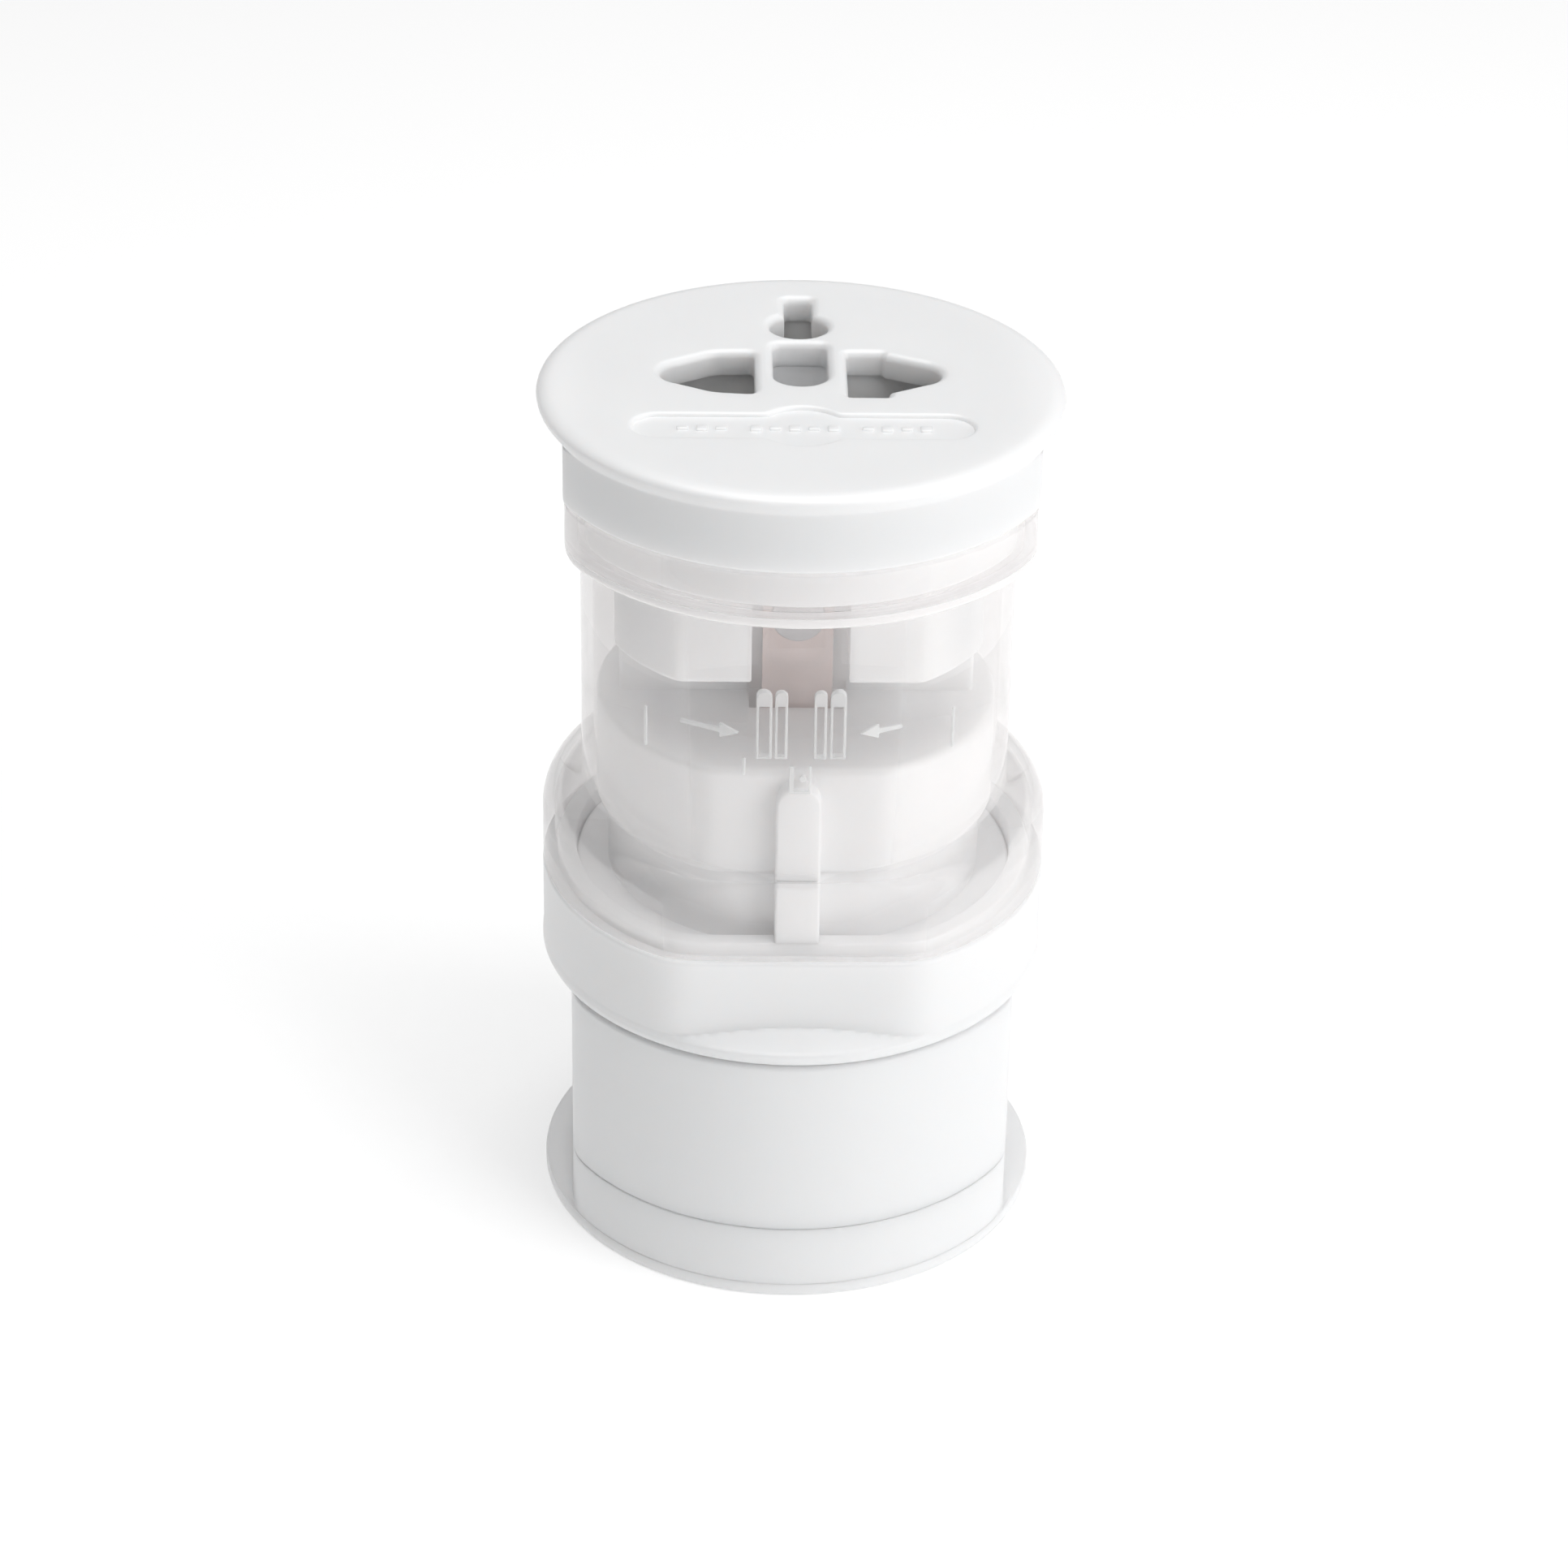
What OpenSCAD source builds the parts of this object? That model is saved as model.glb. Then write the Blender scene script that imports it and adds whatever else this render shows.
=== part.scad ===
// Universal travel adapter: a stack of a holder base, a round-pin module, a clear sleeve and a
// flat-blade head. Millimetres, +Z up, origin at the centre of the underside.

/* [Housing] */
// Diameter of the round flanges at the top and at the bottom
flange_d = 50; // [49:0.5:52]
// Distance across the two flats of each housing section
across_flats = 44; // [43:0.5:45]
// Wall thickness of the white mouldings
wall = 1.8; // [1.6:0.1:2]
// Wall thickness of the clear sleeve
clear_wall = 1.2; // [1:0.1:1.3]
// Gap left at the seam between two modules
seam_gap = 0.2; // [0.1:0.1:0.3]

/* [Heights] */
// Height of the holder base
base_h = 27; // [26:0.5:29]
// Height of the lower plate of the holder base
plate_h = 7.9; // [7:0.1:9]
// Height of the white ring of the round-pin module
ring_h = 9.8; // [9.6:0.1:11]
// Height of the straight wall of the clear flare
flare_h = 5.3; // [5:0.1:6]
// Height and width of the rounded shoulder above the clear flare
shoulder = 4; // [3.8:0.1:4.1]
// Height of the clear tube between shoulder and collar
tube_h = 28; // [27:0.5:32]
// Height of the clear collar
collar_h = 5.6; // [5.4:0.1:6.4]
// Height of the white skirt under the top flange
skirt_h = 6; // [5.6:0.1:7]
// Thickness of the top flange
flange_t = 1.7; // [1.5:0.1:2]

/* [Socket face] */
// Thickness of the socket face
face_t = 2.5; // [2.3:0.1:2.8]
// Inner edge of a live or neutral opening, from the middle
slot_x = 4.4; // [4.2:0.1:4.5]
// Distance from the middle to the centre of an opening's round tip
tip_x = 10.8; // [10.4:0.1:11.2]
// Radius of that round tip
tip_r = 2.5; // [2.4:0.1:2.6]
// Line through the live and neutral contacts, behind the middle
line_y = 2.2; // [2:0.1:2.4]
// Depth of the recessed panel on the face
panel_depth = 0.4; // [0.3:0.1:0.6]

/* [Pins and blades] */
// Diameter of a round pin
pin_d = 4.8; // [4.6:0.1:4.8]
// Length of a round pin below its module
pin_length = 19; // [18:0.5:19]
// Distance between the two round pins
pin_spacing = 19; // [18.6:0.1:19.2]
// Distance between the turning axes of the two flat blades
blade_spacing = 13.7; // [13.5:0.1:13.9]
// Width of a flat blade
blade_w = 6.35; // [6.2:0.05:6.4]
// Thickness of a flat blade
blade_t = 1.5; // [1.4:0.05:1.6]
// Length of a flat blade below the head
blade_length = 16.5; // [15:0.5:17]

/* [Hidden] */
$fn = 96;

flange_r = flange_d / 2;
body_r = flange_r - 0.1;
flat = across_flats / 2;
running = 0.05;
clearance = 0.3;
cut = 1;

z_base = base_h;
z_ring = z_base + seam_gap;
z_ring_top = z_ring + ring_h;
z_sleeve = z_ring_top + seam_gap;
z_shoulder = z_sleeve + flare_h;
z_tube = z_shoulder + shoulder;
z_collar = z_tube + tube_h;
z_collar_top = z_collar + collar_h;
z_skirt = z_collar_top + seam_gap;
z_flange = z_skirt + skirt_h;
z_top = z_flange + flange_t;
z_face = z_top - face_t;

// holder base
base_flange_t = 1.4;
plate_seam = 0.1;
plate_floor = 2;
plate_boss_h = 1.8;
spigot_h = 3;
spigot_t = 1.2;
cradle_top = 22;
cradle_boss_r = 4.5;
cradle_screw_y = 8;
cradle_screw_boss_r = 3.2;
cradle_web = 3;

// self-tapping screws
screw_r = 1.4;
screw_head_r = 2.7;
screw_head_h = 1.8;
screw_sink = 0.4;
screw_sink_r = 2.9;

// round-pin module
lip_h = 1.2;
lip_rise = 1.35;
lip_w = 3;
lip_bevel = 0.4;
pin_face = z_ring + 1.3;
z_pin_plate = pin_face + 2;
upstand_h = 1.4;
pin_neck = 0.1;
pin_head_r = 3.4;
pin_head_h = 1.5;
pin_stem_r = 1.5;
mid_screw_y = 13;
core_low_r = 18.4;
core_top_r = 19.5;
core_flat = 17.7;
z_core_step = z_ring_top + 7.6;
z_core_top = z_ring_top + 19;
tower_r = 17.3;
tower_y = -1.9;
recess_y = -5.4;
recess_depth = 5;
well_r = 3.45;
z_mid_pocket = z_ring_top + 5;
rib_w = 4.3;
rib_low_y = 20.4;
rib_high_y = 19.4;
z_rib_top = z_core_top - 1;

// contact pockets and the spring contacts in them
pocket_x = 3.6;
pocket_w = 10;
pocket_y = -3;
pocket_l = 10.6;
leaf_t = 0.4;
leaf_in = pocket_x + 0.2;
leaf_out = 9.9;
leaf_y = -0.9;
leaf_l = 6.2;
leaf_drop = 0.6;

// clear sleeve
tube_r = 21;
tube_in = tube_r - clear_wall;
collar_floor = 1.4;
bar_w = 1.2;
bar_x = [-3.45, -1.85, 1.8, 3.45];
bar_raise = 0.5;
z_bar = z_tube + 12.8;
bar_h = 7.1;
lug_w = 2.1;
lug_h = 3;
mark_raise = 0.25;
mark_w = 0.3;
mark_h = 4.3;
mark_angle = 43.5;
arrow_angle = 22;
arrow_l = 4.4;
arrow_head_l = 1.9;
arrow_w = 1.6;

// head
head_flat = flat + 0.3;
neck_flat = head_flat - wall;
neck_r = flange_r - wall;
z_neck = z_collar + collar_floor + 0.1;
head_core_flat = 15.7;
head_core_side = 17.6;
z_head_core = z_collar - 10.4;
z_head_pocket = z_head_core + 4.9;
z_centre_pocket = z_head_core + 7.5;
z_tower = z_head_core - 0.3;
z_well = z_core_top - 2;
notch_w = 9.2;
notch_y = -4.4;
strip_w = 6.8;
strip_t = 0.5;
z_strip = z_core_top - recess_depth + 1;
strip_foot = 2;
z_foot = z_neck - 0.1 - strip_t;
z_rivet = z_head_core + 1.7;
rivet_r = 2.6;
rivet_h = 0.6;
rivet_depth = 3;
rivet_shank_r = 1;
head_screw = [13, -9.5];
rotor_r = 4.7;
rotor_h = 2.1;
z_rotor_seat = z_head_core + rotor_h + clearance;
pivot_r = 2;
pivot_head_r = 2.9;
pivot_head_h = 0.6;
tip_bevel = 1;
step_x = 8.2;
centre_w = 5.2;
earth_y = 13.2;
earth_r = 2.8;
earth_slot_w = 2.7;
earth_slot = [10.6, 19.6];
earth_pocket_z = z_neck + 1.5;
panel_y = -9.5;
panel_l = 31.7;
panel_w = 5;
panel_eye_r = 4.1;

white = [0.95, 0.95, 0.95];
clear = [0.9, 0.9, 0.92, 0.35];
nickel = [0.78, 0.77, 0.74];
copper = [0.82, 0.55, 0.45];

// a cylinder with two flats; turn = 0 puts the flats on the left and right, 90 on the front and back
module double_d(r, half, z0, z1, turn = 0) {
  rotate([0, 0, turn])
    intersection() {
      translate([0, 0, z0]) cylinder(h = z1 - z0, r = r);
      translate([-half, -r - cut, z0 - cut]) cube([2 * half, 2 * (r + cut), z1 - z0 + 2 * cut]);
    }
}

module post(x, y, r, z0, z1) {
  translate([x, y, z0]) cylinder(h = z1 - z0, r = r);
}

module box(x0, x1, y0, y1, z0, z1) {
  translate([x0, y0, z0]) cube([x1 - x0, y1 - y0, z1 - z0]);
}

// a disc with a bevelled rim
module flange_disc(r, z0, z1, bevel_low, bevel_high) {
  rotate_extrude()
    polygon([
      [0, z0], [r - bevel_low, z0], [r, z0 + bevel_low],
      [r, z1 - bevel_high], [r - bevel_high, z1], [0, z1]
    ]);
}

// a self-tapping screw that points up, its head at z0 with a cross recess below
module screw(x, y, z0, length) {
  difference() {
    union() {
      post(x, y, screw_head_r, z0, z0 + screw_head_h);
      post(x, y, screw_r, z0, z0 + length);
    }
    for (turn = [0, 90])
      translate([x, y, z0])
        rotate([0, 0, turn])
          cube([3.2, 0.7, 1.6], center = true);
  }
}

// outline of one live or neutral opening on the +X side: a wide inner slot and a round outer tip
function tip_arc(a0, a1, steps) = [
  for (i = [0:steps])
    let (a = a0 + (a1 - a0) * i / steps) [tip_x + tip_r * cos(a), line_y + 0.2 + tip_r * sin(a)]
];

module contact_opening(side, z0, z1) {
  front = side > 0 ? line_y - 5 : line_y - 4.4;
  mirror([side > 0 ? 0 : 1, 0, 0])
    translate([0, 0, z0])
      linear_extrude(height = z1 - z0)
        polygon(concat(
          [[slot_x, line_y + 4.8], [slot_x, front], [step_x, front], [step_x, line_y - 4.1]],
          tip_arc(-72, 72, 12),
          [[step_x, line_y + 4.2], [step_x - 0.3, line_y + 4.8]]
        ));
}

module centre_opening(z0, z1) {
  post(0, line_y, centre_w / 2, z0, z1);
  box(-centre_w / 2, centre_w / 2, line_y, line_y + 6.8, z0, z1);
}

module earth_opening(z0, z1) {
  post(0, earth_y, earth_r, z0, z1);
  box(-earth_slot_w / 2, earth_slot_w / 2, earth_slot[0], earth_slot[1], z0, z1);
}

module contact_pocket(side, z0, z1) {
  mirror([side > 0 ? 0 : 1, 0, 0])
    box(pocket_x, pocket_x + pocket_w, pocket_y, pocket_y + pocket_l, z0, z1);
}

// a closer pocket around one spring contact
module leaf_pocket(side, z0, z1) {
  mirror([side > 0 ? 0 : 1, 0, 0])
    box(pocket_x, leaf_out + leaf_t + 0.3, leaf_y - 0.2, leaf_y + leaf_l + 0.2, z0, z1);
}

// a U-shaped spring contact
module spring_contact(side, z0, z1) {
  color(nickel)
    mirror([side > 0 ? 0 : 1, 0, 0]) {
      box(leaf_in, leaf_in + leaf_t, leaf_y, leaf_y + leaf_l, z0, z1);
      box(leaf_out, leaf_out + leaf_t, leaf_y, leaf_y + leaf_l, z0, z1);
      box(leaf_in, leaf_out + leaf_t, leaf_y, leaf_y + leaf_l, z0, z0 + leaf_t);
    }
}

module base_plate() {
  color(white)
    difference() {
      union() {
        flange_disc(flange_r, 0, base_flange_t, 0.3, 0.5);
        double_d(body_r, flat, 0.3, plate_h);
      }
      difference() {
        double_d(body_r - wall, flat - wall, plate_floor, plate_h + cut);
        for (y = [-cradle_screw_y, cradle_screw_y])
          post(0, y, cradle_screw_boss_r, plate_floor - cut, plate_floor + plate_boss_h);
      }
      for (y = [-cradle_screw_y, cradle_screw_y]) {
        post(0, y, screw_r + running, -cut, plate_floor + plate_boss_h + cut);
        post(0, y, screw_sink_r, -cut, screw_sink + screw_head_h);
      }
    }
}

module base_cup() {
  z0 = plate_h + plate_seam;
  spigot_r = body_r - wall - running;
  spigot_flat = flat - wall - running;
  color(white)
    difference() {
      union() {
        double_d(body_r, flat, z0, z_base);
        double_d(spigot_r, spigot_flat, z0 - spigot_h, z0 + cut);
      }
      double_d(body_r - wall, flat - wall, z0 + cut, z_base + cut);
      double_d(spigot_r - spigot_t, spigot_flat - spigot_t, z0 - spigot_h - cut, z0 + 2 * cut);
    }
}

module pin_cradle() {
  z_post = plate_floor + plate_boss_h;
  color(white)
    difference() {
      union() {
        for (x = [-pin_spacing / 2, pin_spacing / 2]) post(x, 0, cradle_boss_r, plate_floor, cradle_top);
        for (y = [-cradle_screw_y, cradle_screw_y])
          post(0, y, cradle_screw_boss_r, z_post, cradle_top - 6);
        box(-pin_spacing / 2, pin_spacing / 2, -cradle_web / 2, cradle_web / 2, plate_floor, cradle_top - 2);
        box(-cradle_web / 2, cradle_web / 2, -cradle_screw_y, cradle_screw_y, z_post, cradle_top - 6.5);
      }
      for (x = [-pin_spacing / 2, pin_spacing / 2])
        post(x, 0, pin_d / 2 + running, plate_floor + cut, cradle_top + cut);
      for (y = [-cradle_screw_y, cradle_screw_y])
        post(0, y, screw_r + running, z_post - cut, cradle_top - 8);
    }
}

module base_screws() {
  color(nickel)
    for (y = [-cradle_screw_y, cradle_screw_y]) screw(0, y, screw_sink, 12);
}

module mid_ring() {
  spigot_r = body_r - wall - clearance;
  spigot_flat = flat - wall - clearance;
  upstand_r = body_r - clear_wall - clearance;
  upstand_flat = flat - clear_wall - clearance;
  color(white)
    difference() {
      union() {
        rotate_extrude()
          polygon([
            [0, z_ring], [flange_r - lip_bevel, z_ring], [flange_r, z_ring + lip_bevel],
            [flange_r, z_ring + lip_h], [flange_r - lip_w, z_ring + lip_h + lip_rise],
            [0, z_ring + lip_h + lip_rise]
          ]);
        double_d(body_r, flat, z_ring + lip_bevel, z_ring_top, 90);
        double_d(spigot_r, spigot_flat, z_ring - spigot_h, z_ring + 0.2);
        double_d(upstand_r, upstand_flat, z_ring_top - cut, z_ring_top + upstand_h, 90);
      }
      double_d(upstand_r - wall, upstand_flat - wall, z_pin_plate, z_ring_top + upstand_h + cut, 90);
      double_d(spigot_r - wall, spigot_flat - wall, z_ring - spigot_h - cut, pin_face);
      for (x = [-pin_spacing / 2, pin_spacing / 2])
        post(x, 0, pin_d / 2 - pin_neck + running, pin_face - cut, z_pin_plate + cut);
      for (y = [-mid_screw_y, mid_screw_y])
        post(0, y, screw_r + running, pin_face - cut, z_pin_plate + cut);
      box(-rib_w / 2 - 0.1, rib_w / 2 + 0.1, -flat, -core_low_r, z_ring_top, z_ring_top + upstand_h + cut);
    }
}

// the lower part of the round-pin module's core: a plug in the ring and a narrower barrel on it
module mid_carrier() {
  plug_r = body_r - clear_wall - clearance - wall - 0.1;
  plug_flat = flat - clear_wall - clearance - wall - 0.1;
  z0 = z_pin_plate;
  color(white)
    difference() {
      union() {
        double_d(plug_r, plug_flat, z0, z_ring_top - 0.1, 90);
        post(0, 0, core_low_r, z0 + cut, z_core_step);
        box(-rib_w / 2, rib_w / 2, -rib_low_y, -core_low_r + cut, z_ring_top + 0.1, z_core_step);
      }
      for (side = [-1, 1]) {
        leaf_pocket(side, z_mid_pocket, z_core_step + cut);
        post(side * pin_spacing / 2, 0, pin_head_r + 0.2, z0 - cut, z0 + pin_head_h + 0.2);
        post(side * pin_spacing / 2, 0, pin_stem_r + running, z0, z_mid_pocket + cut);
      }
      for (y = [-mid_screw_y, mid_screw_y]) post(0, y, screw_r + running, z0 - cut, z0 + 9);
    }
}

// the upper part: a disc with a tower on its rear half, wells for the flat blades and a key rib
module mid_core() {
  color(white)
    difference() {
      union() {
        double_d(core_top_r, core_flat, z_core_step, z_core_top, 90);
        intersection() {
          post(0, 0, tower_r, z_core_top - cut, z_tower);
          box(-tower_r - cut, tower_r + cut, tower_y, tower_r + cut, z_core_step, z_tower + cut);
        }
        box(-rib_w / 2, rib_w / 2, -rib_high_y, -core_flat + cut, z_core_step, z_rib_top - rib_w / 2);
        translate([0, -core_flat + cut, z_rib_top - rib_w / 2])
          rotate([90, 0, 0])
            cylinder(h = rib_high_y - core_flat + cut, r = rib_w / 2);
      }
      for (side = [-1, 1]) {
        leaf_pocket(side, z_core_step - cut, z_well);
        post(side * blade_spacing / 2, line_y, well_r, z_well - cut, z_tower + cut);
      }
      box(-notch_w / 2, notch_w / 2, recess_y, tower_y, z_core_top - recess_depth, z_core_top + cut);
    }
}

module eu_pin(side) {
  r = pin_d / 2;
  z0 = pin_face - pin_length;
  color(nickel)
    translate([side * pin_spacing / 2, 0, 0]) {
      translate([0, 0, z0]) cylinder(h = tip_bevel, r1 = r - tip_bevel * 0.8, r2 = r);
      post(0, 0, r, z0 + tip_bevel, pin_face);
      post(0, 0, r - pin_neck, pin_face - cut, z_pin_plate);
      post(0, 0, pin_head_r, z_pin_plate, z_pin_plate + pin_head_h);
      post(0, 0, pin_stem_r, z_pin_plate + pin_head_h, z_mid_pocket + 0.4);
    }
}

module mid_screws() {
  color(nickel)
    for (y = [-mid_screw_y, mid_screw_y]) screw(0, y, pin_face - screw_head_h, 11);
}

module shell_of_flare(r, half, inset) {
  rotate([0, 0, 90])
    intersection() {
      rotate_extrude()
        intersection() {
          union() {
            translate([0, z_sleeve - cut]) square([r, z_shoulder - z_sleeve + cut]);
            translate([0, z_sleeve - cut]) square([tube_r, z_tube - z_sleeve - inset + cut]);
            translate([tube_r, z_shoulder]) circle(r = r - tube_r);
          }
          translate([0, z_sleeve - cut]) square([r + cut, shoulder + flare_h + 2 * cut]);
        }
      translate([-half, -r - cut, z_sleeve - 2 * cut]) cube([2 * half, 2 * (r + cut), tube_h]);
    }
}

module clear_sleeve() {
  r = body_r;
  color(clear)
    difference() {
      union() {
        intersection() {
          shell_of_flare(r, flat, 0);
          post(0, 0, r + cut, z_sleeve, z_tube + cut);
        }
        post(0, 0, tube_r, z_tube - cut, z_collar + cut);
        intersection() {
          double_d(body_r, head_flat, z_collar, z_collar_top);
          flange_disc(body_r + 0.01, z_collar, z_collar_top + cut, 1, 0);
        }
      }
      shell_of_flare(r - clear_wall, flat - clear_wall, clear_wall);
      post(0, 0, tube_in, z_shoulder, z_collar_top + cut);
      double_d(body_r - clear_wall, head_flat - clear_wall, z_collar + collar_floor, z_collar_top + cut);
    }
}

// an arrow that points at the middle of the front
module arrow(side) {
  rotate([0, 0, side * arrow_angle])
    translate([0, -tube_r + 3, z_bar + 2.2])
      rotate([90, 0, 0])
        linear_extrude(height = 6)
          mirror([side > 0 ? 0 : 1, 0, 0])
            translate([-arrow_l / 2, 0])
              polygon([
                [0, 0], [arrow_head_l, arrow_w / 2], [arrow_head_l, arrow_w / 6], [arrow_l, arrow_w / 6],
                [arrow_l, -arrow_w / 6], [arrow_head_l, -arrow_w / 6], [arrow_head_l, -arrow_w / 2]
              ]);
}

// marks raised on the front of the tube: four bars, a lug, two arrows and two thin lines
module sleeve_marks() {
  y0 = -tube_r - 2;
  y1 = -tube_r + 3;
  color(clear)
    difference() {
      union() {
        intersection() {
          post(0, 0, tube_r + bar_raise, z_tube, z_collar);
          for (x = bar_x) box(x - bar_w / 2, x + bar_w / 2, y0, y1, z_bar, z_bar + bar_h);
        }
        intersection() {
          post(0, 0, tube_r + mark_raise, z_tube, z_collar);
          union() {
            for (side = [-1, 1]) {
              arrow(side);
              rotate([0, 0, side * mark_angle])
                box(-mark_w / 2, mark_w / 2, y0, y1, z_bar - 2, z_bar - 2 + mark_h);
            }
            box(-lug_w / 2, lug_w / 2, y0, y1, z_bar - lug_h - 0.9, z_bar - 0.9);
          }
        }
      }
      post(0, 0, tube_r, z_tube - cut, z_collar + cut);
    }
}

module face_panel() {
  z0 = z_top - panel_depth;
  end = (panel_l - panel_w) / 2;
  for (x = [-end, end]) post(x, panel_y, panel_w / 2, z0, z_top + cut);
  box(-end, end, panel_y - panel_w / 2, panel_y + panel_w / 2, z0, z_top + cut);
  post(0, panel_y, panel_eye_r, z0, z_top + cut);
}

module top_cover() {
  color(white)
    difference() {
      union() {
        flange_disc(flange_r, z_flange, z_top, 0.7, 0.9);
        double_d(body_r - 0.2, head_flat, z_skirt, z_flange + 0.4);
      }
      double_d(neck_r, neck_flat, z_skirt - cut, z_face);
      for (side = [-1, 1]) contact_opening(side, z_face - cut, z_top + cut);
      centre_opening(z_face - cut, z_top + cut);
      earth_opening(z_face - cut, z_top + cut);
      face_panel();
      for (side = [-1, 1])
        post(side * head_screw[0], head_screw[1], screw_r + running, z_face - cut, z_face + 1.2);
    }
}

// the block under the socket face, which holds the spring contacts and fills the cover
module contact_carrier() {
  color(white)
    difference() {
      double_d(neck_r - 0.1, neck_flat - 0.1, z_neck, z_face - 0.1);
      for (side = [-1, 1]) {
        contact_pocket(side, z_neck - cut, z_face + cut);
        post(side * head_screw[0], head_screw[1], screw_r + running, z_neck - cut, z_face + cut);
      }
      centre_opening(z_neck - cut, z_face + cut);
      box(-earth_r, earth_r, earth_slot[0] - 0.5, earth_slot[1] + 0.3, earth_pocket_z, z_face + cut);
    }
}

// the barrel below it, which holds the turning blades, with a notch in its front
module head_core() {
  color(white)
    difference() {
      intersection() {
        double_d(core_top_r, head_core_flat, z_head_core, z_neck, 90);
        box(-head_core_side, head_core_side, -core_top_r, core_top_r, z_head_core - cut, z_neck + cut);
      }
      box(-notch_w / 2, notch_w / 2, -core_top_r, notch_y, z_head_core - cut, z_neck + cut);
      for (side = [-1, 1]) {
        contact_pocket(side, z_head_pocket, z_neck + cut);
        post(side * blade_spacing / 2, line_y, pivot_r + running, z_head_core, z_head_pocket + cut);
        post(side * blade_spacing / 2, line_y, rotor_r + 0.1, z_head_core - cut, z_rotor_seat);
        post(side * head_screw[0], head_screw[1], screw_r + running, z_head_core, z_neck + cut);
        post(side * head_screw[0], head_screw[1], screw_sink_r, z_head_core - cut, z_neck - 1);
      }
      centre_opening(z_centre_pocket, z_neck + cut);
      box(-strip_w / 2 - 0.1, strip_w / 2 + 0.1, notch_y - cut, notch_y + strip_foot,
          z_foot - 0.1, z_neck + cut);
      translate([0, notch_y + rivet_depth + 0.1, z_rivet])
        rotate([90, 0, 0])
          cylinder(h = rivet_depth + 0.1 + cut, r = rivet_shank_r + running);
    }
}

// a pair of leaves on a foot, for the earth pin
module earth_contact() {
  z0 = earth_pocket_z;
  z1 = z_face - 1;
  color(nickel) {
    for (x = [-earth_r + 0.1, earth_r - 0.1 - leaf_t])
      box(x, x + leaf_t, earth_y - 1.8, earth_y + 5.2, z0, z1);
    box(-earth_r + 0.1, earth_r - 0.1, earth_y - 1.8, earth_y + 5.2, z0, z0 + leaf_t);
  }
}

module copper_strip() {
  color(copper)
    difference() {
      union() {
        box(-strip_w / 2, strip_w / 2, notch_y - strip_t, notch_y, z_strip, z_neck - 0.1);
        box(-strip_w / 2, strip_w / 2, notch_y - strip_t, notch_y + strip_foot - 0.2, z_foot, z_neck - 0.1);
      }
      translate([0, notch_y + cut, z_rivet])
        rotate([90, 0, 0])
          cylinder(h = 3, r = rivet_shank_r + running);
    }
}

module strip_rivet() {
  color(nickel)
    translate([0, notch_y - strip_t, z_rivet])
      rotate([90, 0, 0]) {
        translate([0, 0, -rivet_depth]) cylinder(h = rivet_depth + rivet_h, r = rivet_shank_r);
        cylinder(h = rivet_h, r = rivet_r);
      }
}

module head_screws() {
  color(nickel)
    for (side = [-1, 1])
      screw(side * head_screw[0], head_screw[1], z_neck - 1 - screw_head_h, screw_head_h + z_face - z_neck + 2);
}

module blade(side) {
  x = side * blade_spacing / 2;
  z1 = z_head_core + rotor_h + 0.2;
  color(nickel) {
    box(x - blade_t / 2, x + blade_t / 2, line_y - blade_w / 2, line_y + blade_w / 2,
        z_head_core - blade_length, z1);
    post(x, line_y, pivot_r, z1 - 0.2, z_head_pocket + 0.1);
    post(x, line_y, pivot_head_r, z_head_pocket + 0.1, z_head_pocket + 0.1 + pivot_head_h);
  }
}

module rotor(side) {
  x = side * blade_spacing / 2;
  color(white)
    difference() {
      post(x, line_y, rotor_r, z_head_core, z_head_core + rotor_h);
      box(x - blade_t / 2, x + blade_t / 2, line_y - blade_w / 2, line_y + blade_w / 2,
          z_head_core - cut, z_head_core + rotor_h + cut);
    }
}

base_plate();
base_cup();
pin_cradle();
base_screws();
mid_ring();
mid_carrier();
mid_core();
eu_pin(-1);  // eu_pin_left
eu_pin(1);  // eu_pin_right
spring_contact(-1, z_mid_pocket + 0.4, z_well - leaf_drop);  // mid_contact_left
spring_contact(1, z_mid_pocket + 0.4, z_well - leaf_drop);  // mid_contact_right
mid_screws();
clear_sleeve();
sleeve_marks();
top_cover();
contact_carrier();
head_core();
spring_contact(-1, z_head_pocket + 0.9, z_face - leaf_drop);  // head_contact_left
spring_contact(1, z_head_pocket + 0.9, z_face - leaf_drop);  // head_contact_right
earth_contact();
copper_strip();
strip_rivet();
head_screws();
blade(-1);  // blade_left
rotor(-1);  // rotor_left
blade(1);  // blade_right
rotor(1);  // rotor_right
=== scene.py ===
import math

import bmesh
import bpy
from mathutils import Matrix, Vector


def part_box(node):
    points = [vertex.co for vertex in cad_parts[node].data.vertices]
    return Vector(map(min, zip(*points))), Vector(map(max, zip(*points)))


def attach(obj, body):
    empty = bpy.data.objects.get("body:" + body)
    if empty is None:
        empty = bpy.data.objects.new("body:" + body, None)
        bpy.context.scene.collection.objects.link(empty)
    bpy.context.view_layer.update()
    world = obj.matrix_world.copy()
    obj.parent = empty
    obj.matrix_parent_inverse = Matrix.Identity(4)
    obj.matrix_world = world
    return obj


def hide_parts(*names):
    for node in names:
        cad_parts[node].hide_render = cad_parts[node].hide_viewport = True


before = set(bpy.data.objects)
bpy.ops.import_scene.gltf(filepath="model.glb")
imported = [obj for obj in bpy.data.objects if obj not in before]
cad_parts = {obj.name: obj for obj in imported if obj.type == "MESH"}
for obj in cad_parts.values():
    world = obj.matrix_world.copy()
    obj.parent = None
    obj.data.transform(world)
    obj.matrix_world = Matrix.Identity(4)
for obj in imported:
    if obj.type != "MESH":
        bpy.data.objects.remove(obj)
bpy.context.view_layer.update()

MM = 0.001
AROUND = 384          # points around each lofted ring
CURVE_STEPS = 5       # steps in each rounded corner of a section
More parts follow.
